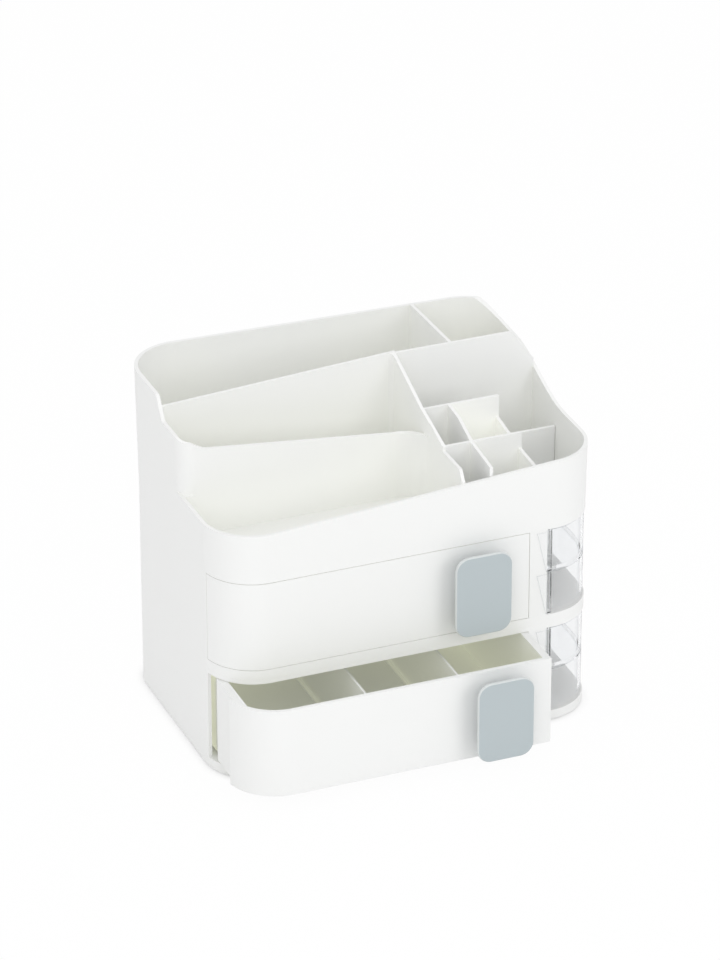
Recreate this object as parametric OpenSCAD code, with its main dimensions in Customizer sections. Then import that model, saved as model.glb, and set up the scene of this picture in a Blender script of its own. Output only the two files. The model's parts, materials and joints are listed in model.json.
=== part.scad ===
// Vanity organizer: a terraced top tray on two drawer modules.
// Each module has one wide drawer that wraps the left front corner and two
// clear swivel trays, one above the other, that swing out of the right front corner.

/* [Body] */
// Width of the drawer modules
body_w = 280; // [240:1:340]
// Depth of the drawer modules
body_d = 190; // [180:1:240]
// Radius of the upright corners
corner_r = 36; // [30:1:44]
// Height of one drawer module
module_h = 77; // [70:1:100]
// Thickness of the housing walls
wall = 2.4; // [1.6:0.1:3.2]

/* [Housing] */
// Height of the base band under each drawer
band_h = 7; // [6:0.5:11]
// Thickness of the base floor
floor_t = 2.4; // [1.6:0.1:3]
// Thickness of the deck over the drawer
deck_t = 3.4; // [2.4:0.1:5]
// Width of the pillar between the drawer and the swivel trays
pillar_w = 13; // [11:0.5:18]
// Width of the niche that holds the swivel trays
niche_w = 41; // [38:0.5:50]
// Depth from the front to the pivot of the swivel trays
pivot_depth = 78; // [60:1:90]
// Height of the stacking pegs
peg_h = 4; // [3:0.5:6]
// Diameter of the stacking pegs
peg_d = 8; // [6:0.5:12]
// Distance from the front and back faces to the stacking pegs
peg_in = 16; // [12:1:22]
// Clearance round the stacking pegs
peg_gap = 0.3; // [0.2:0.05:0.5]
// Clearance over the stacking pegs
peg_room = 0.5; // [0.3:0.1:1]
// Thickness of the wall round each peg's socket
boss_t = 2.4; // [1.6:0.1:3]

/* [Drawer] */
// Thickness of the drawer's front panel
panel_t = 3; // [2.4:0.1:4]
// How far the front panel wraps back along the left side
wrap_d = 30; // [24:1:32]
// Gap round the front panel
panel_gap = 0.4; // [0.4:0.1:1]
// Gap between the drawer and the housing
run_gap = 0.6; // [0.5:0.1:1]
// Width of the double side walls
side_w = 5.4; // [4.4:0.2:7]
// Thickness of each skin of the drawer
skin = 1.8; // [1.4:0.1:2]
// Distance from the front to the end of the drawer's outer left skin
flank_d = 61; // [50:1:70]
// Thickness of the stop rib and of the lug that meets it
stop_t = 2; // [1.6:0.1:2.6]
// Distance that the lower drawer stands open
pull_out = 40; // [0:1:80]
// Height of the runner ribs under the drawer
runner_h = 1.6; // [1.2:0.2:2.4]
// Width of the runner ribs
runner_w = 4; // [3:0.5:6]
// Distance from the drawer's edges to the runner ribs
runner_in = 12; // [8:1:20]
// Gap between the drawer and its runner ribs
ride_gap = 0.3; // [0.2:0.05:0.5]
// Distance from the left of the drawer to its first divider
divider_x1 = 92; // [50:1:110]
// Distance from the left of the drawer to its second divider
divider_x2 = 160; // [120:1:180]
// Height of the dividers
divider_h = 52; // [30:1:54]

/* [Pull] */
// Width of the pull plate
pull_w = 41.5; // [30:0.5:50]
// Height of the pull plate
pull_h = 61; // [40:0.5:62]
// Corner radius of the pull plate
pull_r = 10; // [6:0.5:14]
// Thickness of the pull plate
pull_t = 3.2; // [2.4:0.1:4]
// Finger room between the panel and the pull plate
pull_reach = 12.4; // [9:0.2:16]
// Distance from the panel's right edge to the middle of the pull
pull_inset = 40; // [34:0.5:60]

/* [Swivel trays] */
// Thickness of the clear tray walls
tray_t = 2; // [1.6:0.1:2.4]
// Gap between the trays and the housing
tray_gap = 0.9; // [0.7:0.1:1.3]
// Diameter of the pivot pin
pin_d = 4; // [3:0.5:5]
// Radial clearance of a tray on its pivot pin
pin_gap = 0.05; // [0.03:0.01:0.1]
// Thickness of the washers between the trays
washer_h = 0.8; // [0.5:0.1:1.5]
// Play above and below each tray
play = 0.1; // [0.05:0.05:0.3]
// Radius of the tray's pivot corner
knuckle_r = 8; // [7:0.5:10]
// Width of the finger tab that lies over the pillar
tab_w = 9; // [6:0.5:10]
// Thickness of the finger tab
tab_t = 1.2; // [1:0.1:1.6]

/* [Top tray] */
// Height of the rear tier's left side
tier_rear = 91; // [84:1:110]
// Height of the back rim's right end
tier_back = 87; // [76:1:100]
// Height of the middle tier's left side
tier_mid = 75; // [64:1:80]
// Height of the front tier's left side
tier_front = 33; // [24:1:44]
// Height of the right side behind its slope
tier_side = 69; // [60:1:80]
// Height of the rim at the right front corner
tier_right = 48; // [44:1:58]
// Outward lean of the outer wall at the rear tier's height
flare = 1.6; // [0.6:0.2:4]
// Thickness of the tray's outer wall
rim_t = 2.6; // [2:0.1:3.4]
// Thickness of the tray's partitions
part_t = 2.4; // [1.8:0.1:3]
// Distance from the front to the rear partition
rear_y = 117; // [100:1:130]
// Distance from the front to the middle partition
mid_y = 73; // [60:1:85]
// Distance from the left to the rear end of the long partition
long_x = 172; // [150:1:180]
// How far the long partition swings right on its way forward
long_swing = 4; // [0:0.5:6]
// Distance from the left to the partition in the rear tier
rear_x = 215; // [195:1:235]
// Plan radius of the front compartment's inner corner
scoop_r = 20; // [12:1:26]
// Height of the front compartment's right wall
scoop_h = 52; // [46:1:58]
// Plan radius of the middle tier's front corner
mid_r = 12; // [6:0.5:16]
// Plan radius of the fillets at the rear partition
fillet_r = 5; // [2:0.5:8]
// Thickness of the tray floor
tray_floor = 2.4; // [1.8:0.1:3.2]

/* [Tray insert] */
// Height of the insert's front cross wall
insert_h = 55; // [40:1:60]
// Height of the insert's rear cross wall
insert_back_h = 65; // [50:1:70]
// Height of the insert's low walls on the right
insert_low_h = 33; // [20:1:45]
// Depth of the insert from the front
insert_d = 78; // [60:1:100]
// Distance from the front to the insert's front cross wall
insert_y = 36; // [24:1:50]
// Distance from the insert's left end to its first long wall
insert_x1 = 18; // [14:1:28]
// Distance from the insert's left end to its second long wall
insert_x2 = 54; // [40:1:70]
// Gap round the insert
insert_gap = 0.4; // [0.2:0.1:1]

/* [Feet] */
// Diameter of the foot pads
pad_d = 12; // [8:1:14]
// Height that the foot pads stand proud
pad_h = 1; // [0.6:0.1:2]
// Distance from the stacking pegs to the foot pads
pad_step = 24; // [18:1:40]

/* [Hidden] */
$fn = 64;
eps = 0.01;

half_w = body_w / 2;
half_d = body_d / 2;
front_y = -half_d;
// the open lower drawer moves the middle of the whole object forward
reach = pull_out + pull_reach + pull_t;
home_y = (reach - flare) / 2;
lower_z = pad_h;
upper_z = lower_z + module_h;
top_z = upper_z + module_h;

// drawer bay and niche, across the front
bay_r = half_w - niche_w - pillar_w;
niche_x = half_w - niche_w;
wrap_y = front_y + wrap_d;
bay_top = module_h - deck_t;
inner_front = front_y + panel_t + panel_gap;

// swivel trays
pivot_x = half_w - tray_gap - knuckle_r;
pivot_y = front_y + pivot_depth;
niche_back = pivot_y + knuckle_r + tray_gap;
niche_h = bay_top - band_h;
swivel_h = (niche_h - 3 * washer_h - 4 * play) / 2;
swivel_step = swivel_h + washer_h + 2 * play;

// drawer
// the left wall still curves inwards where the panel's wrap ends
wrap_sag = corner_r - wall - sqrt(pow(corner_r - wall, 2) - pow(max(corner_r - wrap_d, 0), 2));
drawer_l = -half_w + wall + wrap_sag + run_gap;
drawer_r = bay_r - run_gap;
drawer_back = half_d - wall - 5;
flank_y = front_y + flank_d;
// depth of the channel beside the drawer behind its outer left skin
channel = side_w - skin;
drawer_z = band_h + runner_h + ride_gap;
drawer_top = bay_top - panel_gap;
panel_bottom = band_h + panel_gap;
pull_x = bay_r - panel_gap - pull_inset;
pull_z = (panel_bottom + drawer_top) / 2 + 0.6;
stem_w = pull_w * 0.5;
stem_h = pull_h * 0.5;

// tray
y_rear = front_y + rear_y;
y_mid = front_y + mid_y;
x_long = -half_w + long_x;
x_rear = -half_w + rear_x;
x_scoop = x_long + long_swing - 0.4;

// rounded rectangle plan of the body, drawn in by a margin
module body_plan(inset = 0, w = body_w, d = body_d, r = corner_r) {
    x = w / 2 - r;
    y = d / 2 - r;
    for (sx = [-1, 1], sy = [-1, 1]) translate([sx * x, sy * y]) circle(r - inset);
    square([2 * x, 2 * (y + r - inset)], center = true);
    square([2 * (x + r - inset), 2 * y], center = true);
}

module rounded_plate(w, h, r) {
    for (sx = [-1, 1], sy = [-1, 1]) translate([sx * (w / 2 - r), sy * (h / 2 - r)]) circle(r);
    square([w - 2 * r, h], center = true);
    square([w, h - 2 * r], center = true);
}

module at_home(z) translate([0, home_y, z]) children();

module span(x0, x1, y0, y1) translate([x0, y0]) square([x1 - x0, y1 - y0]);

peg_places = [for (sx = [-1, 1], sy = [-1, 1])
    [sx * (half_w - corner_r), sy * (half_d - peg_in)]];
pad_places = [for (sx = [-1, 1], sy = [-1, 1])
    [sx * (half_w - corner_r - pad_step), sy * (half_d - peg_in)]];

// base: a floor in a shallow band, seen as the rail under the drawer
module base() {
    color([0.95, 0.96, 0.96]) difference() {
        union() {
            linear_extrude(band_h) difference() {
                base_plan();
                difference() {
                    body_plan(2 * wall + run_gap);
                    for (p = peg_places) translate(p) circle(peg_d / 2 + boss_t);
                    for (p = pad_places) translate(p) circle(pad_d / 2 + 0.6);
                    translate([pivot_x, pivot_y]) circle(knuckle_r - 2);
                }
            }
            translate([0, 0, band_h - floor_t]) linear_extrude(floor_t) base_plan();
            for (x = [drawer_l + runner_in, drawer_r - runner_in - runner_w])
                translate([x, front_y + runner_in, band_h - eps])
                    cube([runner_w, drawer_back - front_y - 2 * runner_in, runner_h + eps]);
        }
        for (p = peg_places) translate([p[0], p[1], -eps])
            cylinder(d = peg_d + 2 * peg_gap, h = peg_h + peg_room);
        translate([pivot_x, pivot_y, band_h - 4]) cylinder(d = pin_d + 2 * pin_gap, h = 5);
    }
}

// the base runs out to the body's face only where no housing wall stands
module base_plan() {
    body_plan(wall + 0.02);
    intersection() {
        body_plan();
        union() {
            span(-half_w, half_w, front_y, wrap_y);
            span(niche_x, half_w, front_y, niche_back);
        }
    }
}

// housing: deck, left wall, back wall, right rear wall, pillar and niche walls
module housing() {
    color([0.95, 0.96, 0.96]) difference() {
        union() {
            translate([0, 0, bay_top]) linear_extrude(deck_t) body_plan();
            linear_extrude(bay_top + eps) difference() {
                body_plan();
                body_plan(wall);
                span(-half_w - 1, half_w + 1, front_y - 1, wrap_y + 0.02);
                span(0, half_w + 1, front_y - 1, niche_back + 0.02);
            }
            translate([0, 0, band_h + 0.02]) linear_extrude(niche_h) housing_walls();
            translate([0, 0, band_h + 0.02]) linear_extrude(niche_h) drawer_stop();
            for (p = peg_places) translate([p[0], p[1], module_h - eps])
                cylinder(d = peg_d, h = peg_h);
        }
        translate([pivot_x, pivot_y, bay_top - 1])
            cylinder(d = pin_d + 2 * pin_gap, h = deck_t - 0.4);
    }
}

module housing_walls() {
    span(bay_r, niche_x, front_y, front_y + wall);
    span(bay_r, bay_r + wall, front_y, half_d - wall + 0.5);
    span(niche_x - wall, niche_x, front_y, niche_back + wall);
    intersection() {
        body_plan(0.5);
        span(niche_x - wall, half_w, niche_back, niche_back + wall);
    }
}

// rib on the left wall that catches the lug at the back of the drawer
module drawer_stop() {
    span(-half_w + wall / 2, drawer_l + channel - run_gap, flank_y + 1, flank_y + 1 + stop_t);
}

// drawer: double side walls, a floor, and a front panel round the left corner
module drawer() {
    box_z = drawer_top - drawer_z;
    color([0.95, 0.96, 0.96]) {
        translate([0, 0, drawer_z]) linear_extrude(skin) drawer_plan(channel);
        translate([0, 0, drawer_z]) linear_extrude(box_z) difference() {
            drawer_plan(0);
            drawer_plan(skin);
            channel_plan();
        }
        translate([0, 0, drawer_z]) linear_extrude(box_z)
            span(drawer_l, drawer_l + channel + eps, flank_y - skin, flank_y);
        translate([0, 0, drawer_z]) linear_extrude(box_z) difference() {
            drawer_plan(channel);
            drawer_plan(side_w);
        }
        translate([0, 0, drawer_top - skin]) linear_extrude(skin) difference() {
            drawer_plan(0);
            drawer_plan(side_w);
            channel_plan();
        }
        translate([0, 0, panel_bottom]) linear_extrude(drawer_top - panel_bottom)
            panel_plan();
    }
}

// open channel beside the drawer, from its outer left skin back to the lug
module channel_plan() {
    span(drawer_l - 1, drawer_l + channel, flank_y, drawer_back - stop_t);
}

module drawer_plan(inset) {
    difference() {
        intersection() {
            body_plan(panel_t - 0.2);
            span(drawer_l + inset, drawer_r - inset, front_y, drawer_back - inset);
        }
        if (inset > 0) difference() {
            body_plan(panel_t - 0.3);
            body_plan(panel_t);
        }
    }
}

module panel_plan() {
    intersection() {
        difference() {
            body_plan();
            body_plan(panel_t);
        }
        span(-half_w, bay_r - panel_gap, front_y, wrap_y - panel_gap);
    }
}

// two dividers that stand on the drawer floor
module dividers() {
    color([0.95, 0.96, 0.96]) for (x = [divider_x1, divider_x2])
        translate([drawer_l + x, front_y + panel_t + 0.02, drawer_z + skin + 0.02])
            divider(drawer_back - side_w - front_y - panel_t - 0.04);
}

module divider(length) {
    cube([skin, length, divider_h]);
    translate([-3, 0, 0]) cube([6 + skin, length, 1.2]);
}

// pull: a stem fixed to the panel, and a rounded plate that stands in front of it
module pull_stem() {
    color([0.8, 0.83, 0.84]) upright_plate(stem_w, stem_h, 6, pull_reach);
}

module pull_plate() {
    color([0.72, 0.76, 0.78]) translate([0, -pull_reach, 0])
        upright_plate(pull_w, pull_h, pull_r, pull_t);
}

module upright_plate(w, h, r, t) {
    translate([pull_x, front_y, pull_z]) rotate([90, 0, 0]) linear_extrude(t)
        rounded_plate(w, h, r);
}

// pivot pin from the base floor up into the deck
module pivot_pin() {
    color([0.75, 0.76, 0.78]) translate([pivot_x, pivot_y, band_h - 3.6])
        cylinder(d = pin_d, h = niche_h + 5.4);
}

// washers under, between and over the two swivel trays
module washers() {
    color([0.93, 0.94, 0.94]) for (i = [0:2])
        translate([pivot_x, pivot_y, band_h + i * swivel_step])
            difference() {
                cylinder(d = 2 * knuckle_r - 5, h = washer_h);
                translate([0, 0, -1]) cylinder(d = pin_d + 2 * pin_gap, h = washer_h + 2);
            }
}

// one clear swivel tray with its pivot corner and its finger tab
module swivel(level) {
    z = band_h + washer_h + play + level * swivel_step;
    color([0.85, 0.9, 0.92, 0.5]) translate([0, 0, z]) difference() {
        union() {
            linear_extrude(tray_t) swivel_plan(0);
            linear_extrude(swivel_h) difference() {
                swivel_plan(0);
                difference() {
                    swivel_plan(tray_t);
                    translate([pivot_x, pivot_y]) circle(knuckle_r - tray_t);
                }
            }
            translate([0, 0, swivel_h - 1.4]) linear_extrude(1.4) difference() {
                swivel_plan(0);
                swivel_plan(tray_t + 1.2);
            }
            tab();
        }
        translate([pivot_x, pivot_y, -1]) cylinder(d = pin_d + 2 * pin_gap, h = swivel_h + 2);
    }
}

module swivel_plan(inset) {
    intersection() {
        body_plan(tray_gap + inset);
        union() {
            span(niche_x + tray_gap + inset, half_w, front_y, pivot_y - inset);
            translate([pivot_x, pivot_y]) circle(knuckle_r - inset);
        }
    }
}

module tab() {
    x = niche_x + tray_gap;
    translate([0, front_y - tab_t - 0.4, 0]) rotate([90, 0, 0])
        mirror([0, 0, 1]) linear_extrude(tab_t) polygon([[x + tray_t, 0.6], [x + tray_t, swivel_h],
            [x - tab_w, swivel_h - 0.6], [x - 2, 0.6]]);
    translate([x, front_y - tab_t - 0.4, 0.6])
        cube([tray_t, tab_t + tray_gap + 1, swivel_h - 0.6]);
}

// terraced top tray, leaning outwards, with its partitions
module top_tray() {
    color([0.95, 0.96, 0.96]) at_home(top_z) difference() {
        union() {
            tray_shell();
            tray_partitions();
        }
        mid_corner_cut();
        for (p = peg_places) translate([p[0], p[1], -eps])
            cylinder(d = peg_d + 2 * peg_gap, h = peg_h + peg_room);
    }
}

function lean(z) = flare * z / tier_rear;

// eases from 0 to 1, level at both ends
function ease(t) = t * t * (3 - 2 * t);

// points of a smooth rise or fall from (y0, h0) to (y1, h1)
function slope(y0, h0, y1, h1, steps = 10) =
    [for (i = [0:steps]) [y0 + (y1 - y0) * i / steps, h0 + (h1 - h0) * ease(i / steps)]];

module leaning_body(inset, z0, z1) {
    hull() for (z = [z0, z1 - eps]) translate([0, 0, z]) linear_extrude(eps)
        body_plan(inset, body_w + 2 * lean(z), body_d + 2 * lean(z), corner_r + lean(z));
}

module tray_shell() {
    intersection() {
        difference() {
            leaning_body(0, 0, tier_rear);
            difference() {
                leaning_body(rim_t, tray_floor, tier_rear + 1);
                for (p = peg_places) translate([p[0], p[1], 0])
                    cylinder(d = peg_d + 2 * boss_t, h = peg_h + boss_t);
            }
        }
        rim_profile();
    }
}

// everything below the rim: two sides, the back and the rising front
module rim_profile() {
    side_profile(-half_w - 10, -half_w + corner_r, left_rim());
    side_profile(half_w - corner_r, half_w + 10, right_rim());
    front_profile(y_rear, half_d + 10, [[corner_r - half_w - eps, tier_rear],
        [half_w - corner_r + eps, tier_back]]);
    front_profile(front_y - 10, front_y + corner_r, [[-half_w - 10, tier_front],
        [corner_r - half_w, tier_front], [half_w - corner_r, tier_right],
        [half_w + 10, tier_right]]);
    front_profile(front_y, half_d, [[-half_w, tray_floor + eps], [half_w, tray_floor + eps]]);
}

// block between two x values under an outline of (y, height) points
module side_profile(x0, x1, outline) {
    last = outline[len(outline) - 1][0];
    translate([x0, 0, 0]) rotate([90, 0, 90]) linear_extrude(x1 - x0)
        polygon(concat([[outline[0][0], -1]], outline, [[last, -1]]));
}

// block between two y values under an outline of (x, height) points
module front_profile(y0, y1, outline) {
    last = outline[len(outline) - 1][0];
    translate([0, y1, 0]) rotate([90, 0, 0]) linear_extrude(y1 - y0)
        polygon(concat([[outline[0][0], -1]], outline, [[last, -1]]));
}

function left_rim() = concat(
    [[front_y + 2, tier_front], [y_mid, tier_front]],
    mid_slope(),
    slope(y_rear - 11, tier_mid, y_rear + 2, tier_rear),
    [[half_d + 10, tier_rear]]);

// rise of the middle tier's rim behind its front corner
function mid_slope() = slope(y_mid, tier_mid - 3, y_mid + mid_r, tier_mid, 4);

// rises to the side, then ever steeper round the rear corner to the back
function right_rim() = concat(
    [[front_y + 2, tier_right]],
    slope(y_mid - 8, tier_right, half_d - corner_r, tier_side),
    [for (i = [1:8]) [half_d - corner_r + i / 8 * (corner_r - 6),
        tier_side + (tier_back - tier_side) * pow(i / 8, 2)]],
    [[half_d + 10, tier_back]]);

module tray_partitions() {
    intersection() {
        leaning_body(rim_t - 0.6, 0, tier_rear + 1);
        union() {
            wall_x(y_rear, [[-half_w, tier_rear - 10], [x_long + part_t, tier_rear]]);
            wall_x(y_rear, [[x_long, tier_rear - 1], [half_w - 19, tier_rear - 1],
                [half_w - 17, tier_rear - 2.4], [half_w + 4, tier_side - 9]]);
            wall_y(x_rear, [[y_rear, tier_rear - 1], [half_d, tier_back + 1]]);
            long_partition();
            scoop_wall();
            lean_left() corner_fill(-half_w + rim_t, y_rear, 1, -1, fillet_r, tier_rear - 10);
            intersection() {
                corner_fill(x_long, y_rear, -1, -1, fillet_r, tier_rear - 0.6);
                side_profile(x_long - fillet_r, x_long + part_t, long_rim());
            }
        }
    }
}

function long_rim() = [[y_rear - rear_y + insert_y, insert_h], [y_mid, tier_rear - 22],
    [y_rear + eps, tier_rear]];

// swings to the right on its way from the rear partition to the front compartment
module long_partition() {
    run = rear_y - insert_y;
    difference() {
        multmatrix([[1, -long_swing / run, 0, y_rear * long_swing / run],
                [0, 1, 0, 0], [0, 0, 1, 0]])
            wall_y(x_long, long_rim());
        linear_extrude(tier_rear) scoop_plan(0);
    }
}

// wall behind and beside the front compartment, round its inner corner
module scoop_wall() {
    intersection() {
        union() {
            linear_extrude(tier_rear) difference() {
                scoop_plan(part_t);
                scoop_plan(0);
            }
            lean_left() corner_fill(-half_w + rim_t, y_mid + part_t, 1, 1, mid_r - part_t,
                tier_rear);
        }
        front_profile(front_y, half_d, concat(
            slope(-half_w, tier_mid, -half_w + 20, tier_mid - 8.4, 8),
            [[x_scoop - scoop_r, scoop_h], [x_scoop + 5, scoop_h]]));
        side_profile(-half_w, half_w, concat(
            slope(front_y, tier_right - 4, front_y + 8, scoop_h + 0.4, 5),
            [[front_y + 9, tier_mid - 3]], mid_slope(), [[half_d, tier_mid]]));
    }
}

module scoop_plan(grow) {
    r = scoop_r + grow;
    x1 = x_scoop + grow;
    y1 = y_mid + grow;
    span(-half_w - 10, x1, front_y - 10, y1 - r);
    span(-half_w - 10, x1 - r, front_y - 10, y1);
    translate([x1 - r, y1 - r]) circle(r);
}

// leans its children outwards with the tray's left wall
module lean_left() {
    multmatrix([[1, 0, -flare / tier_rear, 0], [0, 1, 0, 0], [0, 0, 1, 0]]) children();
}

// fills an inside corner of the tray so that it is round in plan
module corner_fill(x, y, sx, sy, r, h) {
    linear_extrude(h) translate([x - sx * 0.3, y - sy * 0.3]) scale([sx, sy]) difference() {
        square(r);
        translate([r, r]) circle(r);
    }
}

// rounds the middle tier's front corner above the front tier
module mid_corner_cut() {
    lean_left() translate([-half_w, y_mid, tier_front]) linear_extrude(tier_mid) difference() {
        translate([-2, -0.5]) square([mid_r + 2, mid_r + 0.5]);
        translate([mid_r, mid_r]) circle(mid_r);
    }
}

// a partition across the tray under an outline of (x, height) points
module wall_x(y, outline) front_profile(y, y + part_t, outline);

// a partition from front to back under an outline of (y, height) points
module wall_y(x, outline) side_profile(x, x + part_t, outline);

// small grid that drops into the right front cell of the top tray
module tray_insert() {
    x0 = x_scoop + part_t + insert_gap;
    x2 = x0 + insert_x2;
    y0 = front_y + insert_y;
    y1 = front_y + insert_d - part_t;
    color([0.95, 0.96, 0.96]) at_home(top_z) difference() {
        intersection() {
            leaning_body(rim_t + insert_gap, tray_floor + 0.02, tier_rear);
            union() {
                wall_y(x0 + insert_x1, [[front_y, insert_h - 4], [y0, insert_h],
                    [y0 + 22, insert_back_h - 2], [y1 + part_t, insert_back_h]]);
                wall_y(x2, [[front_y, insert_low_h + 8], [y0, insert_low_h + 10],
                    [y1 + part_t, insert_low_h + 16]]);
                wall_x(y0, [[x0, insert_h], [x2 + part_t, insert_h]]);
                wall_x(y1, [[x0, insert_back_h], [x2 + part_t, insert_back_h]]);
                wall_x(y1, [[x2, insert_low_h], [half_w, insert_low_h]]);
            }
        }
        for (p = peg_places) translate([p[0], p[1], 0])
            cylinder(d = peg_d + 2 * boss_t + 1, h = peg_h + boss_t + 0.5);
    }
}

module foot_pads() {
    color([0.3, 0.3, 0.32]) at_home(0) for (p = pad_places)
        translate([p[0], p[1], 0]) cylinder(d = pad_d, h = pad_h);
}

module lower_base() at_home(lower_z) base();
module upper_base() at_home(upper_z) base();
module lower_housing() at_home(lower_z) housing();
module upper_housing() at_home(upper_z) housing();
module lower_drawer() at_home(lower_z) translate([0, -pull_out, 0]) drawer();
module upper_drawer() at_home(upper_z) drawer();
module lower_dividers() at_home(lower_z) translate([0, -pull_out, 0]) dividers();
module upper_dividers() at_home(upper_z) dividers();
module lower_pull_stem() at_home(lower_z) translate([0, -pull_out, 0]) pull_stem();
module upper_pull_stem() at_home(upper_z) pull_stem();
module lower_pull_plate() at_home(lower_z) translate([0, -pull_out, 0]) pull_plate();
module upper_pull_plate() at_home(upper_z) pull_plate();
module lower_pivot_pin() at_home(lower_z) pivot_pin();
module upper_pivot_pin() at_home(upper_z) pivot_pin();
module lower_washers() at_home(lower_z) washers();
module upper_washers() at_home(upper_z) washers();
module lower_swivel_bottom() at_home(lower_z) swivel(0);
module upper_swivel_bottom() at_home(upper_z) swivel(0);
module lower_swivel_top() at_home(lower_z) swivel(1);
module upper_swivel_top() at_home(upper_z) swivel(1);

foot_pads();
lower_base();
lower_housing();
lower_drawer();
lower_dividers();
lower_pull_stem();
lower_pull_plate();
lower_pivot_pin();
lower_washers();
lower_swivel_bottom();
lower_swivel_top();
upper_base();
upper_housing();
upper_drawer();
upper_dividers();
upper_pull_stem();
upper_pull_plate();
upper_pivot_pin();
upper_washers();
upper_swivel_bottom();
upper_swivel_top();
top_tray();
tray_insert();
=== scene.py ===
import json
import math

import bmesh
import bpy
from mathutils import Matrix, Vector


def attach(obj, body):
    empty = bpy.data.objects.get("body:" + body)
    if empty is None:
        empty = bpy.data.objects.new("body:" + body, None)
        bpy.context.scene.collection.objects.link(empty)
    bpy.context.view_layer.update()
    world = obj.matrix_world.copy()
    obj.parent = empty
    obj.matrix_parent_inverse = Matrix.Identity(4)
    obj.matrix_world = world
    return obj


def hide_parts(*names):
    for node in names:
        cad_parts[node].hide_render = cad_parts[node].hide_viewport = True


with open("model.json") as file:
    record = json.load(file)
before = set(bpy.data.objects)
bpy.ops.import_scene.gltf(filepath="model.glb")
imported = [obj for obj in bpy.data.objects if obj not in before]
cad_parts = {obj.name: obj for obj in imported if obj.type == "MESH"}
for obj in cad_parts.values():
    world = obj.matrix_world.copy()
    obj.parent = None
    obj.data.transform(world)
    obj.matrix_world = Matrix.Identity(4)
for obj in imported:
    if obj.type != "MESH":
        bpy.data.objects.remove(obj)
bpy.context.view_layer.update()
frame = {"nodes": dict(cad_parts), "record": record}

bl_info = {
    "name": "Vanity Organizer",
    "version": (1, 0, 0),
    "blender": (4, 5, 0),
    "location": "View3D > Sidebar > Organizer",
    "description": "Finishes the mouldings, pulls and clear swivel trays of a vanity organizer",
    "category": "Object",
}

MODULES = ("lower", "upper")
BODY_OF = {node: body for body, nodes in frame["record"]["behaviour"]["bodies"].items()
           for node in nodes}

# lengths are in metres
SAME_POINT = 1e-6  # vertices nearer than this are merged
SAME_PLANE = math.radians(1.0)  # facets that turn by less than this are joined
SHARP = math.radians(30.0)  # edges that turn by more than this are rounded
THIN_ROUND = 0.00008  # edge radius of the small grid's thin walls
STEM_ROUND = 0.0004
PAD_ROUND = 0.0003
FLANK_X = -0.131  # the drawer's outer left wall stands further left than this
LOOKS_LEFT = -0.98  # x of the normal of a face that looks left is below this

# grains: cells per metre, and depth
PULL_GRAIN = (2600.0, 0.000012)
EDGE_GRAIN = (900.0, 0.00001)
STEEL_GRAIN = (900.0, 0.00002)
WASHER_GRAIN = (1200.0, 0.00001)
RUBBER_GRAIN = (1500.0, 0.00006)

BLACK = (0.0, 0.0, 0.0, 1.0)
WHITE = (1.0, 1.0, 1.0, 1.0)
STEEL_COLOUR = (0.62, 0.63, 0.65, 1.0)
PAPER_COLOUR = (0.93, 0.93, 0.93, 1.0)
SATIN_GLOSS = 0.42  # specular level of the opaque plastics
UNEVENNESS = 0.08  # how much the roughness of the opaque plastics varies
NEARNESS_SAMPLES = 8
GAP_REACH = 0.012  # a gap to a neighbour that is narrower than this counts as a recess
CONTACT_REACH = 0.007  # the floor is less white where a piece is nearer than this
MIX_FIRST, MIX_SECOND, MIX_RESULT = 6, 7, 2  # colour sockets of a Mix node
LOOKING_RAYS = ("Camera", "Glossy", "Transmission")

FLOOR_SIZE = 12.0
LAMP_AIM = Vector((0.0, 0.0, 0.12))
LAMPS = (  # name, place, size, share of the key's power
    ("key_lamp", (0.95, -1.9, 1.05), 1.1, 1.0),
    ("near_lamp", (-1.0, -2.5, 1.45), 1.6, 1.6),
    ("left_lamp", (-2.2, -0.4, 0.9), 1.6, 0.6),
    ("top_lamp", (0.2, 0.3, 2.0), 1.6, 0.75),
)
SENSOR_HEIGHT = 36.0  # millimetres, as for the lens
VIEW_LIMIT = 30.0


# ---------------------------------------------------------------- settings

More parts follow.
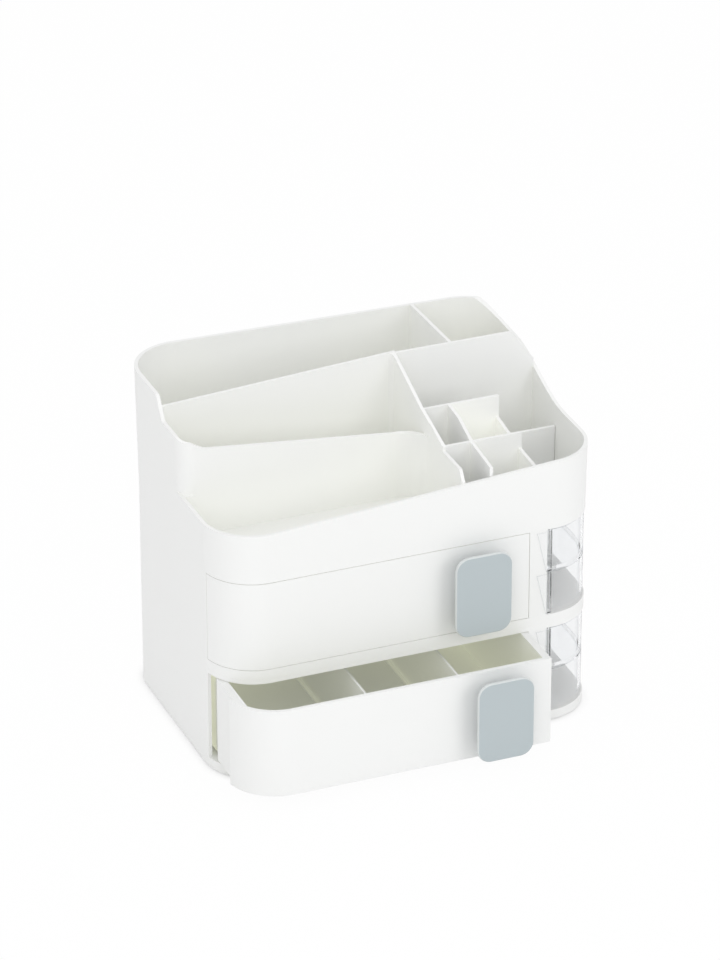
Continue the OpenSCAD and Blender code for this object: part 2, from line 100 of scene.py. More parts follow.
class OrganizerCase(bpy.types.PropertyGroup):
    """Finish of the white mouldings, with their painted shade and painted glow in recesses"""
    colour: bpy.props.FloatVectorProperty(
        name="Colour", description="Colour of the white plastic", subtype="COLOR",
        default=(0.86, 0.865, 0.858), min=0.0, max=1.0)
    # painted shade: this warmer tone is mixed into deep corners by a nearness mask, and also
    # colours the painted glow there
    painted_recess_colour: bpy.props.FloatVectorProperty(
        name="Recess colour", description="Warmer tone that gathers in deep corners",
        subtype="COLOR", default=(0.87, 0.875, 0.835), min=0.0, max=1.0)
    # painted glow: emission mixed into the case's corners and gaps
    wall_painted_glow: bpy.props.FloatProperty(
        name="Wall glow", description="Light that the case's thin walls let through",
        default=0.07, min=0.0, max=1.0)
    # painted glow: emission mixed into the small grid's corners and gaps
    insert_painted_glow: bpy.props.FloatProperty(
        name="Insert glow", description="Light that the small grid's thin walls let through",
        default=0.18, min=0.0, max=1.0)
    # painted shade: this tone is mixed into the drawers' deep corners and gaps, and also colours
    # their painted glow
    drawer_painted_recess_colour: bpy.props.FloatVectorProperty(
        name="Drawer recess colour", description="Tone of the light inside the drawers",
        subtype="COLOR", default=(0.64, 0.65, 0.53), min=0.0, max=1.0)
    # painted glow: emission mixed into the drawers' corners and gaps
    drawer_painted_glow: bpy.props.FloatProperty(
        name="Drawer glow", description="Light that the thin drawer walls let through",
        default=0.42, min=0.0, max=1.0)
    # painted shade: this olive tone is mixed into the drawer's left flank where it lies in the
    # slot, and also colours the painted glow there
    flank_painted_recess_colour: bpy.props.FloatVectorProperty(
        name="Flank colour", description="Tone of the drawer's left flank in its slot",
        subtype="COLOR", default=(0.8, 0.81, 0.64), min=0.0, max=1.0)
    # painted glow: emission on the flank where it lies in the slot
    flank_painted_glow: bpy.props.FloatProperty(
        name="Flank glow", description="Light that the flank's thin wall lets through",
        default=0.5, min=0.0, max=1.0)
    roughness: bpy.props.FloatProperty(
        name="Roughness", description="Roughness of the satin surface", default=0.42,
        min=0.0, max=1.0)
    edge_round: bpy.props.FloatProperty(
        name="Edge rounding", description="Radius moulded onto outer edges", default=0.0007,
        min=0.0001, max=0.002, subtype="DISTANCE", unit="LENGTH")
    grain_size: bpy.props.FloatProperty(
        name="Grain size", description="Width of one grain of the fine texture",
        default=0.00045, min=0.0001, max=0.003, subtype="DISTANCE", unit="LENGTH")
    grain_depth: bpy.props.FloatProperty(
        name="Grain depth", description="Height of the fine texture", default=0.00001,
        min=0.0, max=0.0005, subtype="DISTANCE", unit="LENGTH")


class OrganizerPull(bpy.types.PropertyGroup):
    """Finish of the pull plates"""
    colour: bpy.props.FloatVectorProperty(
        name="Colour", description="Colour of the pull plate", subtype="COLOR",
        default=(0.455, 0.51, 0.53), min=0.0, max=1.0)
    rim_colour: bpy.props.FloatVectorProperty(
        name="Rim colour", description="Paler tone of the plate's edge", subtype="COLOR",
        default=(0.66, 0.69, 0.69), min=0.0, max=1.0)
    roughness: bpy.props.FloatProperty(
        name="Roughness", description="Roughness of the soft matt face", default=0.55,
        min=0.0, max=1.0)
    edge_round: bpy.props.FloatProperty(
        name="Edge rounding", description="Radius round the plate's face", default=0.0011,
        min=0.0001, max=0.0015, subtype="DISTANCE", unit="LENGTH")


class OrganizerClear(bpy.types.PropertyGroup):
    """Finish of the clear swivel trays, with painted shade on their edges and at grazing angles
    """
    tint: bpy.props.FloatVectorProperty(
        name="Tint", description="Colour of the clear plastic", subtype="COLOR",
        default=(0.975, 0.98, 0.985), min=0.0, max=1.0)
    # painted shade: the base colour turns to this grey where the surface is seen at a grazing
    # angle
    grazing_shade_tint: bpy.props.FloatVectorProperty(
        name="Edge tint", description="Tone of the clear plastic seen edge on",
        subtype="COLOR", default=(0.68, 0.69, 0.72), min=0.0, max=1.0)
    # painted shade: the trays' rounded edges are coloured this dark grey
    outline: bpy.props.FloatVectorProperty(
        name="Outline", description="Tone of the trays' rounded edges",
        subtype="COLOR", default=(0.28, 0.3, 0.33), min=0.0, max=1.0)
    ior: bpy.props.FloatProperty(
        name="IOR", description="Refractive index of the clear plastic", default=1.06,
        min=1.0, max=2.0)
    edge_round: bpy.props.FloatProperty(
        name="Edge rounding", description="Radius on the tray's edges", default=0.0008,
        min=0.0001, max=0.001, subtype="DISTANCE", unit="LENGTH")


class OrganizerStage(bpy.types.PropertyGroup):
    """Camera and light"""
    yaw: bpy.props.FloatProperty(
        name="Yaw", description="How far left of the front the camera stands",
        default=math.radians(22.04), subtype="ANGLE", unit="ROTATION")
    elevation: bpy.props.FloatProperty(
        name="Elevation", description="How far above level the camera stands",
        default=math.radians(27.38), subtype="ANGLE", unit="ROTATION")
    roll: bpy.props.FloatProperty(
        name="Roll", description="Turn of the camera about its own axis",
        default=math.radians(-0.11), subtype="ANGLE", unit="ROTATION")
    distance: bpy.props.FloatProperty(
        name="Distance", description="From the camera to its target", default=3.794,
        min=0.5, max=10.0, subtype="DISTANCE", unit="LENGTH")
    target: bpy.props.FloatVectorProperty(
        name="Target", description="Point that the camera looks at",
        default=(-0.0019, 0.0248, 0.1650), subtype="TRANSLATION", unit="LENGTH")
    lens: bpy.props.FloatProperty(
        name="Lens", description="Focal length in millimetres on a 36 mm high image",
        default=205.8, min=20.0, max=400.0)
    world_level: bpy.props.FloatProperty(
        name="World level", description="Strength of the light from all round",
        default=0.72, min=0.0, max=2.0)
    key_power: bpy.props.FloatProperty(
        name="Key power", description="Power of the lamp at the right", default=8.2,
        min=0.0, max=500.0, unit="POWER")


# ---------------------------------------------------------------- node groups

def new_group(name, inputs, outputs):
    """Returns an empty shader group and its input and output nodes."""
    group = bpy.data.node_groups.new(name, "ShaderNodeTree")
    for label, kind, value in inputs:
        socket = group.interface.new_socket(label, in_out="INPUT", socket_type=kind)
        socket.default_value = value
    for label, kind in outputs:
        group.interface.new_socket(label, in_out="OUTPUT", socket_type=kind)
    return group, group.nodes.new("NodeGroupInput"), group.nodes.new("NodeGroupOutput")


def set_inputs(node, **values):
    """Sets the inputs that are named, with _ where the name has a space."""
    for key, value in values.items():
        node.inputs[key.replace("_", " ")].default_value = value


def add(tree, kind, **values):
    """Adds a node and sets attributes, or inputs whose names are given."""
    node = tree.nodes.new(kind)
    for key, value in values.items():
        if hasattr(node, key):
            setattr(node, key, value)
        else:
            set_inputs(node, **{key: value})
    return node


def mix_colours(tree, factor, first, second):
    """Blends two colours, each one an output or a value, and returns the result."""
    blend = add(tree, "ShaderNodeMix", data_type="RGBA")
    tree.links.new(factor, blend.inputs["Factor"])
    for socket, colour in ((blend.inputs[MIX_FIRST], first), (blend.inputs[MIX_SECOND], second)):
        if isinstance(colour, bpy.types.NodeSocket):
            tree.links.new(colour, socket)
        else:
            socket.default_value = colour
    return blend.outputs[MIX_RESULT]


def grain_group():
    """Fine spark-eroded grain: a height, and a roughness that varies a little."""
    group, given, out = new_group(
        "moulded_grain",
        [("Cells per metre", "NodeSocketFloat", 2200.0), ("Roughness", "NodeSocketFloat", 0.4),
         ("Unevenness", "NodeSocketFloat", 0.06)],
        [("Height", "NodeSocketFloat"), ("Roughness", "NodeSocketFloat")])
    links = group.links
    coords = add(group, "ShaderNodeTexCoord")
    fine = add(group, "ShaderNodeTexNoise", Detail=3.0, Roughness=0.6)
    broad = add(group, "ShaderNodeTexNoise", Scale=38.0, Detail=4.0, Roughness=0.55)
    centre = add(group, "ShaderNodeMath", operation="SUBTRACT")
    centre.inputs[1].default_value = 0.5
    scale = add(group, "ShaderNodeMath", operation="MULTIPLY_ADD")
    links.new(coords.outputs["Object"], fine.inputs["Vector"])
    links.new(coords.outputs["Object"], broad.inputs["Vector"])
    links.new(given.outputs["Cells per metre"], fine.inputs["Scale"])
    links.new(broad.outputs["Fac"], centre.inputs[0])
    links.new(centre.outputs[0], scale.inputs[0])
    links.new(given.outputs["Unevenness"], scale.inputs[1])
    links.new(given.outputs["Roughness"], scale.inputs[2])
    links.new(fine.outputs["Fac"], out.inputs["Height"])
    links.new(scale.outputs[0], out.inputs["Roughness"])
    return group


def tone_painted_light_group():
    """Plastic colour with faint flow clouds, and a painted shade tone and painted glow for
    corners and gaps.
    """
    group, given, out = new_group(
        "plastic_tone_painted_light",
        [("Colour", "NodeSocketColor", (0.8, 0.8, 0.8, 1.0)),
         ("Recess colour", "NodeSocketColor", (0.7, 0.7, 0.65, 1.0)),
         ("Recess reach", "NodeSocketFloat", 0.03),
         ("Open above", "NodeSocketFloat", 0.85),
         ("Gap share", "NodeSocketFloat", 0.0),
         ("Cloud strength", "NodeSocketFloat", 0.02)],
        [("Colour", "NodeSocketColor"), ("Glow", "NodeSocketColor")])
    links = group.links
    coords = add(group, "ShaderNodeTexCoord")
    clouds = add(group, "ShaderNodeTexNoise", Scale=9.0, Detail=3.0, Roughness=0.5)
    cloud_value = add(group, "ShaderNodeMapRange", To_Min=-0.5, To_Max=0.5)
    cloud_scale = add(group, "ShaderNodeMath", operation="MULTIPLY_ADD")
    cloud_scale.inputs[2].default_value = 1.0
    shade = add(group, "ShaderNodeHueSaturation")
    links.new(coords.outputs["Object"], clouds.inputs["Vector"])
    links.new(clouds.outputs["Fac"], cloud_value.inputs["Value"])
    links.new(cloud_value.outputs["Result"], cloud_scale.inputs[0])
    links.new(given.outputs["Cloud strength"], cloud_scale.inputs[1])
    links.new(cloud_scale.outputs[0], shade.inputs["Value"])
    links.new(given.outputs["Colour"], shade.inputs["Color"])

    # painted shade and painted glow, by a mask for corners between a moulding's own walls, and
    # narrow gaps to its neighbours
    corner = add(group, "ShaderNodeAmbientOcclusion", samples=NEARNESS_SAMPLES, only_local=True)
    corner_shade_mask = add(group, "ShaderNodeMapRange", From_Min=0.12, To_Min=1.0, To_Max=0.0)
    gap = add(group, "ShaderNodeAmbientOcclusion", samples=NEARNESS_SAMPLES,
              Distance=GAP_REACH)
    gap_shade_mask = add(group, "ShaderNodeMapRange", From_Max=0.35, To_Max=0.0)
    mask = add(group, "ShaderNodeMath", operation="MAXIMUM")
    links.new(given.outputs["Recess reach"], corner.inputs["Distance"])
    links.new(given.outputs["Open above"], corner_shade_mask.inputs["From Max"])
    links.new(corner.outputs["AO"], corner_shade_mask.inputs["Value"])
    links.new(gap.outputs["AO"], gap_shade_mask.inputs["Value"])
    links.new(given.outputs["Gap share"], gap_shade_mask.inputs["To Min"])
    links.new(corner_shade_mask.outputs["Result"], mask.inputs[0])
    links.new(gap_shade_mask.outputs["Result"], mask.inputs[1])
    painted_recess_colour = given.outputs["Recess colour"]
    # the painted recess colour takes the place of the plastic colour as painted shade, and goes
    # out as a painted glow
    for start, label in ((shade.outputs["Color"], "Colour"), (BLACK, "Glow")):
        links.new(mix_colours(group, mask.outputs[0], start, painted_recess_colour), out.inputs[label])
    return group


def face_group():
    """A face colour where the surface looks along Y, and a rim colour elsewhere."""
    group, given, out = new_group(
        "two_tone_face",
        [("Face colour", "NodeSocketColor", (0.5, 0.5, 0.5, 1.0)),
         ("Rim colour", "NodeSocketColor", (0.8, 0.8, 0.8, 1.0))],
        [("Colour", "NodeSocketColor")])
    links = group.links
    coords = add(group, "ShaderNodeTexCoord")
    parts = add(group, "ShaderNodeSeparateXYZ")
    size = add(group, "ShaderNodeMath", operation="ABSOLUTE")
    facing = add(group, "ShaderNodeMapRange", interpolation_type="SMOOTHSTEP",
                 From_Min=0.72, From_Max=0.98)
    links.new(coords.outputs["Normal"], parts.inputs[0])
    links.new(parts.outputs["Y"], size.inputs[0])
    links.new(size.outputs[0], facing.inputs["Value"])
    links.new(mix_colours(group, facing.outputs["Result"], given.outputs["Rim colour"],
                          given.outputs["Face colour"]), out.inputs["Colour"])
    return group


def smudge_group():
    """Finger smudges and hairline rubs, as a mask from 0 to 1."""
    group, given, out = new_group(
        "handling_smudges",
        [("Patches per metre", "NodeSocketFloat", 30.0), ("Cover", "NodeSocketFloat", 0.4)],
        [("Mask", "NodeSocketFloat")])
    links = group.links
    coords = add(group, "ShaderNodeTexCoord")
    patches = add(group, "ShaderNodeTexNoise", Detail=5.0, Roughness=0.65, Distortion=0.6)
    keep = add(group, "ShaderNodeMapRange", clamp=True, From_Max=0.75)
    invert = add(group, "ShaderNodeMath", operation="SUBTRACT")
    invert.inputs[0].default_value = 0.85
    links.new(coords.outputs["Object"], patches.inputs["Vector"])
    links.new(given.outputs["Patches per metre"], patches.inputs["Scale"])
    links.new(given.outputs["Cover"], invert.inputs[1])
    links.new(patches.outputs["Fac"], keep.inputs["Value"])
    links.new(invert.outputs[0], keep.inputs["From Min"])
    links.new(keep.outputs["Result"], out.inputs["Mask"])
    return group


GROUPS = {
    "moulded_grain": grain_group,
    "plastic_tone_painted_light": tone_painted_light_group,
    "two_tone_face": face_group,
    "handling_smudges": smudge_group,
}


# ---------------------------------------------------------------- materials

def new_material(name):
    """Returns a new material, its node tree and its Principled shader."""
    material = bpy.data.materials.new(name)
    material.use_nodes = True
    tree = material.node_tree
    return material, tree, tree.nodes["Principled BSDF"]


def place_group(tree, name, **values):
    """Puts a shader group into a material, builds it the first time and sets its inputs."""
    node = tree.nodes.new("ShaderNodeGroup")
    node.node_tree = bpy.data.node_groups.get(name) or GROUPS[name]()
    set_inputs(node, **values)
    return node


def add_grain(tree, shader, cells, depth, roughness, unevenness):
    """Wires the moulded grain into a material's normal and roughness."""
    grain = place_group(tree, "moulded_grain",
                        Cells_per_metre=cells, Roughness=roughness, Unevenness=unevenness)
    bump = add(tree, "ShaderNodeBump", Distance=depth, Strength=0.6)
    tree.links.new(grain.outputs["Height"], bump.inputs["Height"])
    tree.links.new(bump.outputs["Normal"], shader.inputs["Normal"])
    tree.links.new(grain.outputs["Roughness"], shader.inputs["Roughness"])


def is_ray(tree, *kinds):
    """Returns an output that is 1 for rays of the kinds that are named, and 0 for others."""
    path = add(tree, "ShaderNodeLightPath")
    known, *others = [path.outputs["Is " + kind + " Ray"] for kind in kinds]
    for other in others:
        either = add(tree, "ShaderNodeMath", operation="MAXIMUM")
        tree.links.new(known, either.inputs[0])
        tree.links.new(other, either.inputs[1])
        known = either.outputs[0]
    return known


def mix_surface(tree, factor, first, second):
    """Makes a mix of two shaders the material's surface."""
    mix = add(tree, "ShaderNodeMixShader")
    for source, socket in zip((factor, first, second), mix.inputs):
        tree.links.new(source, socket)
    tree.links.new(mix.outputs[0], tree.nodes["Material Output"].inputs["Surface"])


def plastic(name, colour, painted_recess_colour, roughness, cells, depth, clouds=0.02, reach=0.03,
            open_above=0.85, gaps=0.0, glow=0.0):
    """Opaque moulded plastic, with painted shade in recesses and an optional painted glow."""
    material, tree, shader = new_material(name)
    tone = place_group(tree, "plastic_tone_painted_light",
                       Colour=(*colour, 1.0), Recess_colour=(*painted_recess_colour, 1.0),
                       Recess_reach=reach, Open_above=open_above, Gap_share=gaps,
                       Cloud_strength=clouds)
    tree.links.new(tone.outputs["Colour"], shader.inputs["Base Color"])
    # painted glow: the recess colour goes out as emission in corners and gaps
    if glow > 0.0:
        tree.links.new(tone.outputs["Glow"], shader.inputs["Emission Color"])
        set_inputs(shader, Emission_Strength=glow)
    set_inputs(shader, Specular_IOR_Level=SATIN_GLOSS)
    add_grain(tree, shader, cells, depth, roughness, UNEVENNESS)
    return material


def case_plastic(name, painted_recess_colour, **tone):
    """The case's white plastic, with a painted recess shade and painted glow of the piece's own.
    """
    case = bpy.context.scene.organizer_case
    return plastic(name, case.colour, painted_recess_colour, case.roughness, 1.0 / case.grain_size,
                   case.grain_depth, **tone)


def white_plastic(name, glow):
    """The case's walls, and the small grid between them, with painted shade and a painted glow
    in recesses.
    """
    case = bpy.context.scene.organizer_case
    return case_plastic(name, case.painted_recess_colour, reach=0.09, glow=glow)


def drawer_plastic():
    """The drawers and their dividers, with painted shade and a painted glow in their depth."""
    case = bpy.context.scene.organizer_case
    return case_plastic("drawer_plastic", case.drawer_painted_recess_colour, clouds=0.025,
                        reach=0.12, open_above=0.97, gaps=0.5, glow=case.drawer_painted_glow)


def flank_plastic():
    """The drawer's left flank, with painted shade and a painted glow where it lies in the slot
    behind the stile.
    """
    case = bpy.context.scene.organizer_case
    return case_plastic("flank_plastic", case.flank_painted_recess_colour, clouds=0.025, reach=0.001,
                        gaps=1.0, glow=case.flank_painted_glow)


def two_tone_plastic(name, pull):
    """Matt plastic with a pale rim round a darker face."""
    material, tree, shader = new_material(name)
    face = place_group(tree, "two_tone_face",
                       Face_colour=(*pull.colour, 1.0), Rim_colour=(*pull.rim_colour, 1.0))
    # the rim colour is mixed in as painted light within a millimetre of inner corners
    tone = place_group(tree, "plastic_tone_painted_light",
                       Recess_colour=(*pull.rim_colour, 1.0), Recess_reach=0.001,
                       Cloud_strength=0.03)
    tree.links.new(face.outputs["Colour"], tone.inputs["Colour"])
    tree.links.new(tone.outputs["Colour"], shader.inputs["Base Color"])
    set_inputs(shader, Specular_IOR_Level=SATIN_GLOSS)
    add_grain(tree, shader, *PULL_GRAIN, pull.roughness, UNEVENNESS)
    return material


def clear_plastic():
    """Clear plastic with a painted grey shade at a grazing angle, which lets the light fall
    through it.
    """
    clear = bpy.context.scene.organizer_clear
    material, tree, shader = new_material("clear_plastic")
    links = tree.links
    set_inputs(shader, Transmission_Weight=1.0, IOR=clear.ior, Coat_Weight=0.3,
               Coat_Roughness=0.05)
    # painted shade: the base colour greys where the surface is seen at a grazing angle
    weight = add(tree, "ShaderNodeLayerWeight", Blend=0.5)
    grazing = add(tree, "ShaderNodeMapRange", interpolation_type="SMOOTHSTEP", From_Min=0.6)
    links.new(weight.outputs["Facing"], grazing.inputs["Value"])
    links.new(mix_colours(tree, grazing.outputs["Result"], (*clear.tint, 1.0),
                          (*clear.grazing_shade_tint, 1.0)), shader.inputs["Base Color"])
    smudges = place_group(tree, "handling_smudges",
                          Patches_per_metre=45.0, Cover=0.35)
    rough = add(tree, "ShaderNodeMapRange", To_Min=0.03, To_Max=0.13)
    links.new(smudges.outputs["Mask"], rough.inputs["Value"])
    links.new(rough.outputs["Result"], shader.inputs["Roughness"])
    waves = place_group(tree, "moulded_grain",
                        Cells_per_metre=55.0, Unevenness=0.0)
    bump = add(tree, "ShaderNodeBump", Distance=0.00002)
    links.new(waves.outputs["Height"], bump.inputs["Height"])
    links.new(bump.outputs["Normal"], shader.inputs["Normal"])
    straight_through = add(tree, "ShaderNodeBsdfTransparent")
    mix_surface(tree, is_ray(tree, "Shadow", "Diffuse"), shader.outputs[0],
                straight_through.outputs[0])
    return material


def clear_edge():
    """The clear plastic's rounded edges, painted as thin dark grey lines of shade."""
    clear = bpy.context.scene.organizer_clear
    material, tree, shader = new_material("clear_edge")
    set_inputs(shader, Transmission_Weight=0.1, IOR=clear.ior, Specular_IOR_Level=0.3)
    tone = place_group(tree, "plastic_tone_painted_light",
                       Colour=(*clear.outline, 1.0), Recess_colour=(*clear.outline, 1.0),
                       Cloud_strength=0.2)
    tree.links.new(tone.outputs["Colour"], shader.inputs["Base Color"])
    add_grain(tree, shader, *EDGE_GRAIN, 0.2, 0.2)
    return material


def drawn_steel():
    """Bright steel of the pivot pins."""
    material, tree, shader = new_material("drawn_steel")
    set_inputs(shader, Base_Color=STEEL_COLOUR, Metallic=1.0)
    add_grain(tree, shader, *STEEL_GRAIN, 0.3, 0.2)
    return material


# ---------------------------------------------------------------- shapes

def merged_copy(node, piece_name):
    """Copies a moulding and joins its coplanar facets."""
    mesh = frame["nodes"][node].data.copy()
    mesh.name = piece_name
    mesh.materials.clear()
    shape = bmesh.new()
    shape.from_mesh(mesh)
    bmesh.ops.remove_doubles(shape, verts=shape.verts, dist=SAME_POINT)
    bmesh.ops.dissolve_limit(shape, angle_limit=SAME_PLANE, verts=shape.verts,
                             edges=shape.edges)
    shape.to_mesh(mesh)
    shape.free()
    piece = bpy.data.objects.new(piece_name, mesh)
    bpy.context.collection.objects.link(piece)
    return piece


def rounded_copy(node, piece_name, width, segments=3, edge_slot=-1):
    """Copies a moulding and rounds its edges, whose faces can have a slot of their own."""
    piece = merged_copy(node, piece_name)
    rounding = piece.modifiers.new("Edge rounding", "BEVEL")
    rounding.width = width
    rounding.segments = segments
    rounding.limit_method = "ANGLE"
    rounding.angle_limit = SHARP
    rounding.use_clamp_overlap = True
    rounding.miter_outer = "MITER_ARC"
    rounding.material = edge_slot
    give_slots(piece, max(1, edge_slot + 1))
    faces = piece.data.polygons
    faces.foreach_set("use_smooth", [True] * len(faces))
    normals = piece.modifiers.new("Flat faces first", "WEIGHTED_NORMAL")
    normals.keep_sharp = True
    apply_modifiers(piece)
    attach(piece, BODY_OF[node])
    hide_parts(node)
    return piece


def apply_modifiers(piece):
    """Puts the result of the piece's modifiers into its mesh."""
    graph = bpy.context.evaluated_depsgraph_get()
    mesh = bpy.data.meshes.new_from_object(piece.evaluated_get(graph))
    piece.modifiers.clear()
    piece.data = mesh


def give_slots(piece, count):
    """Gives a piece as many material slots as it needs, and keeps its faces' slots."""
    slots = piece.data.materials
    while len(slots) > count:
        slots.pop()
    while len(slots) < count:
        slots.append(None)


def give_flank(piece, slot):
    """Puts the faces of the drawer's outer left wall into their own material slot."""
    for face in piece.data.polygons:
        if face.normal.x < LOOKS_LEFT and face.center.x < FLANK_X:
            face.material_index = slot


def finish_piece(piece, *materials):
    """Gives a piece its materials, one for each of its slots."""
    give_slots(piece, len(materials))
    for slot, material in enumerate(materials):
        piece.data.materials[slot] = material


# ---------------------------------------------------------------- operators

class ORGANIZER_OT_case(bpy.types.Operator):
    """Rounds and finishes the white mouldings of the case"""
    bl_idname = "organizer.case"
    bl_label = "Case mouldings"

    def execute(self, context):
        case = context.scene.organizer_case
        material = white_plastic("white_plastic", case.wall_painted_glow)
        for node in ["top_tray"] + [module + "_" + part for module in MODULES
                                    for part in ("base", "housing")]:
            finish_piece(rounded_copy(node, node + "_moulding", case.edge_round), material)
        return {"FINISHED"}


class ORGANIZER_OT_drawers(bpy.types.Operator):
    """Rounds and finishes the drawers with their dividers, and the small grid"""
    bl_idname = "organizer.drawers"
    bl_label = "Drawers"

    def execute(self, context):
        case = context.scene.organizer_case
        inside, flank = drawer_plastic(), flank_plastic()
        for module in MODULES:
            drawer = module + "_drawer"
            piece = rounded_copy(drawer, drawer + "_moulding", case.edge_round)
            finish_piece(piece, inside, flank)
            give_flank(piece, 1)
            dividers = module + "_dividers"
            finish_piece(rounded_copy(dividers, dividers + "_moulding", case.edge_round),
                         inside)
        finish_piece(rounded_copy("tray_insert", "tray_insert_moulding", THIN_ROUND),
                     white_plastic("insert_plastic", case.insert_painted_glow))
        return {"FINISHED"}


class ORGANIZER_OT_pulls(bpy.types.Operator):
    """Rounds and finishes the pull plates and their stems"""
    bl_idname = "organizer.pulls"
    bl_label = "Pulls"

    def execute(self, context):
        pull = context.scene.organizer_pull
        plate = two_tone_plastic("pull_plastic", pull)
        stem = plastic("stem_plastic", pull.rim_colour, pull.rim_colour, pull.roughness,
                       *PULL_GRAIN)
        for module in MODULES:
            finish_piece(rounded_copy(module + "_pull_plate", module + "_pull",
                                      pull.edge_round, segments=4), plate)
            finish_piece(rounded_copy(module + "_pull_stem", module + "_pull_post",
                                      STEM_ROUND), stem)
        return {"FINISHED"}


class ORGANIZER_OT_swivel_trays(bpy.types.Operator):
    """Rounds and finishes the clear swivel trays"""
    bl_idname = "organizer.swivel_trays"
    bl_label = "Swivel trays"

    def execute(self, context):
        clear, edge = clear_plastic(), clear_edge()
        width = context.scene.organizer_clear.edge_round
        for module in MODULES:
            for level in ("bottom", "top"):
                node = module + "_swivel_" + level
                finish_piece(rounded_copy(node, node + "_tray", width, segments=2,
                                          edge_slot=1), clear, edge)
        return {"FINISHED"}


class ORGANIZER_OT_hardware(bpy.types.Operator):
    """Finishes the pins, washers and foot pads"""
    bl_idname = "organizer.hardware"
    bl_label = "Pins, washers and pads"

    def execute(self, context):
        steel = drawn_steel()
        # the second colour of each is painted shade, mixed into the piece's corners
        washer = plastic("washer_plastic", (0.84, 0.85, 0.85), (0.7, 0.7, 0.68), 0.25,
                         *WASHER_GRAIN)
        rubber = plastic("pad_rubber", (0.02, 0.02, 0.022), (0.012, 0.012, 0.013), 0.75,
                         *RUBBER_GRAIN, clouds=0.15)
        for module in MODULES:
            finish_piece(frame["nodes"][module + "_pivot_pin"], steel)
            finish_piece(frame["nodes"][module + "_washers"], washer)
        finish_piece(rounded_copy("foot_pads", "foot_pad_set", PAD_ROUND, segments=2), rubber)
        return {"FINISHED"}


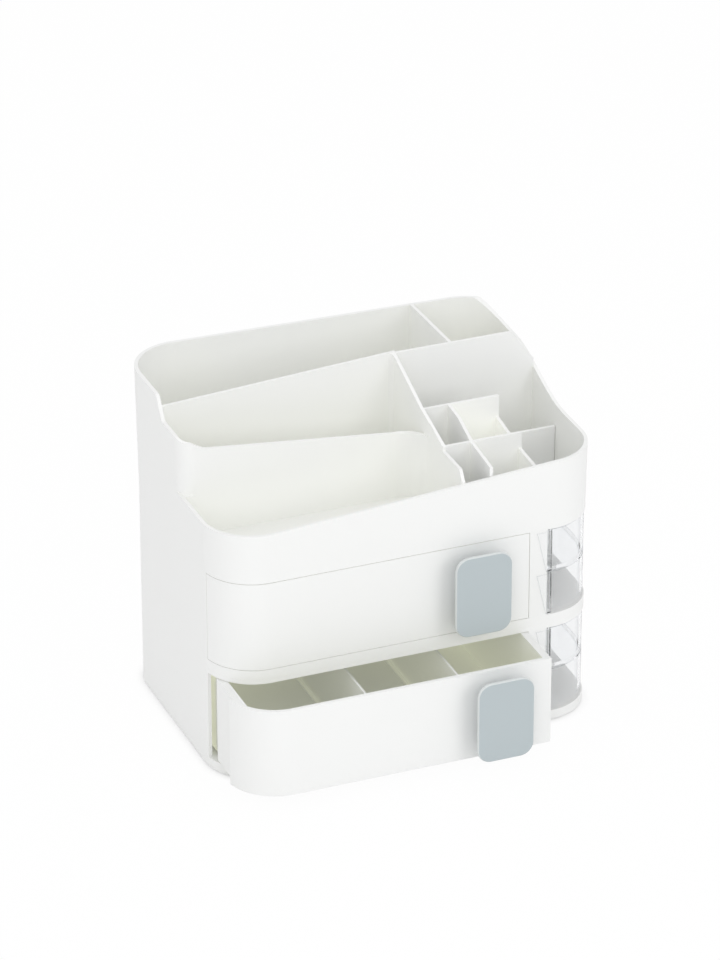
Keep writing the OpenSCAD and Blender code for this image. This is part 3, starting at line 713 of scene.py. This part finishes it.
class ORGANIZER_OT_stage(bpy.types.Operator):
    """Makes the floor, the soft light and the camera"""
    bl_idname = "organizer.stage"
    bl_label = "Stage"

    def execute(self, context):
        self.make_floor()
        self.make_world(context)
        self.make_lamps(context)
        self.make_camera(context)
        return {"FINISHED"}

    def make_floor(self):
        """Lays white paper under the object."""
        bpy.ops.mesh.primitive_plane_add(size=FLOOR_SIZE, location=(0.0, 0.0, 0.0))
        floor = bpy.context.object
        floor.name = "floor"
        material, tree, shader = new_material("floor_paper")
        set_inputs(shader, Base_Color=PAPER_COLOUR, Roughness=0.9, Specular_IOR_Level=0.1)
        floor.data.materials.append(material)
        self.whiten(tree, shader, self.away_from_contact(tree))

    def away_from_contact(self, tree):
        """Share of white: nearly full on open floor, less in the line where a piece stands."""
        near = add(tree, "ShaderNodeAmbientOcclusion", samples=NEARNESS_SAMPLES,
                   Distance=CONTACT_REACH)
        share = add(tree, "ShaderNodeMapRange", From_Min=0.4, From_Max=0.95, To_Min=0.4,
                    To_Max=0.97)
        tree.links.new(near.outputs["AO"], share.inputs["Value"])
        return share.outputs["Result"]

    def whiten(self, tree, shader, amount):
        """Lifts a stage surface towards white for the camera, glass and gloss."""
        factor = add(tree, "ShaderNodeMath", operation="MULTIPLY")
        tree.links.new(is_ray(tree, *LOOKING_RAYS), factor.inputs[0])
        tree.links.new(amount, factor.inputs[1])
        white = add(tree, "ShaderNodeEmission", Color=WHITE)
        mix_surface(tree, factor.outputs[0], shader.outputs[0], white.outputs[0])

    def make_world(self, context):
        """Surrounds the scene with white, dimmer as a light than it looks."""
        world = bpy.data.worlds.new("studio")
        context.scene.world = world
        world.use_nodes = True
        tree = world.node_tree
        background = tree.nodes["Background"]
        set_inputs(background, Color=WHITE)
        level = add(tree, "ShaderNodeMapRange", To_Max=1.0,
                    To_Min=context.scene.organizer_stage.world_level)
        tree.links.new(is_ray(tree, *LOOKING_RAYS), level.inputs["Value"])
        tree.links.new(level.outputs["Result"], background.inputs["Strength"])

    def make_lamps(self, context):
        """Hangs the soft lamps, all of them aimed at the middle of the object."""
        power = context.scene.organizer_stage.key_power
        for name, place, size, share in LAMPS:
            data = bpy.data.lights.new(name, "AREA")
            data.energy = power * share
            data.size = size
            lamp = bpy.data.objects.new(name, data)
            lamp.location = place
            lamp.rotation_euler = (LAMP_AIM - Vector(place)).to_track_quat("-Z", "Y").to_euler()
            context.collection.objects.link(lamp)

    def make_camera(self, context):
        """Stands the camera where the settings say."""
        stage = context.scene.organizer_stage
        data = bpy.data.cameras.new("camera")
        data.sensor_fit = "VERTICAL"
        data.sensor_height = SENSOR_HEIGHT
        data.lens = stage.lens
        data.clip_end = VIEW_LIMIT
        camera = bpy.data.objects.new("camera", data)
        context.collection.objects.link(camera)
        ahead = Vector((math.sin(stage.yaw) * math.cos(stage.elevation),
                        math.cos(stage.yaw) * math.cos(stage.elevation),
                        -math.sin(stage.elevation)))
        camera.location = Vector(stage.target) - ahead * stage.distance
        camera.rotation_euler = ahead.to_track_quat("-Z", "Y").to_euler()
        camera.rotation_euler.rotate_axis("Z", stage.roll)
        context.scene.camera = camera


class ORGANIZER_PT_panel(bpy.types.Panel):
    """Lists the organizer's operators and settings"""
    bl_label = "Vanity organizer"
    bl_idname = "ORGANIZER_PT_panel"
    bl_space_type = "VIEW_3D"
    bl_region_type = "UI"
    bl_category = "Organizer"

    def draw(self, context):
        for operator in OPERATORS:
            self.layout.operator(operator.bl_idname)
        for group in SETTINGS:
            settings = getattr(context.scene, group)
            box = self.layout.box()
            for name in settings.__annotations__:
                box.prop(settings, name)


SETTINGS = {
    "organizer_case": OrganizerCase,
    "organizer_pull": OrganizerPull,
    "organizer_clear": OrganizerClear,
    "organizer_stage": OrganizerStage,
}
OPERATORS = (
    ORGANIZER_OT_case,
    ORGANIZER_OT_drawers,
    ORGANIZER_OT_pulls,
    ORGANIZER_OT_swivel_trays,
    ORGANIZER_OT_hardware,
    ORGANIZER_OT_stage,
)
CLASSES = (*SETTINGS.values(), *OPERATORS, ORGANIZER_PT_panel)


def register():
    """Registers the classes and hangs the settings on the scene."""
    for cls in CLASSES:
        bpy.utils.register_class(cls)
    for name, cls in SETTINGS.items():
        setattr(bpy.types.Scene, name, bpy.props.PointerProperty(type=cls))


def unregister():
    """Takes back what register did."""
    for name in SETTINGS:
        delattr(bpy.types.Scene, name)
    for cls in reversed(CLASSES):
        bpy.utils.unregister_class(cls)


def main():
    """Registers the add-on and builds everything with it."""
    register()
    bpy.ops.organizer.case()
    bpy.ops.organizer.drawers()
    bpy.ops.organizer.pulls()
    bpy.ops.organizer.swivel_trays()
    bpy.ops.organizer.hardware()
    bpy.ops.organizer.stage()
    bpy.context.scene.view_settings.view_transform = "Standard"


if __name__ == "__main__":
    main()
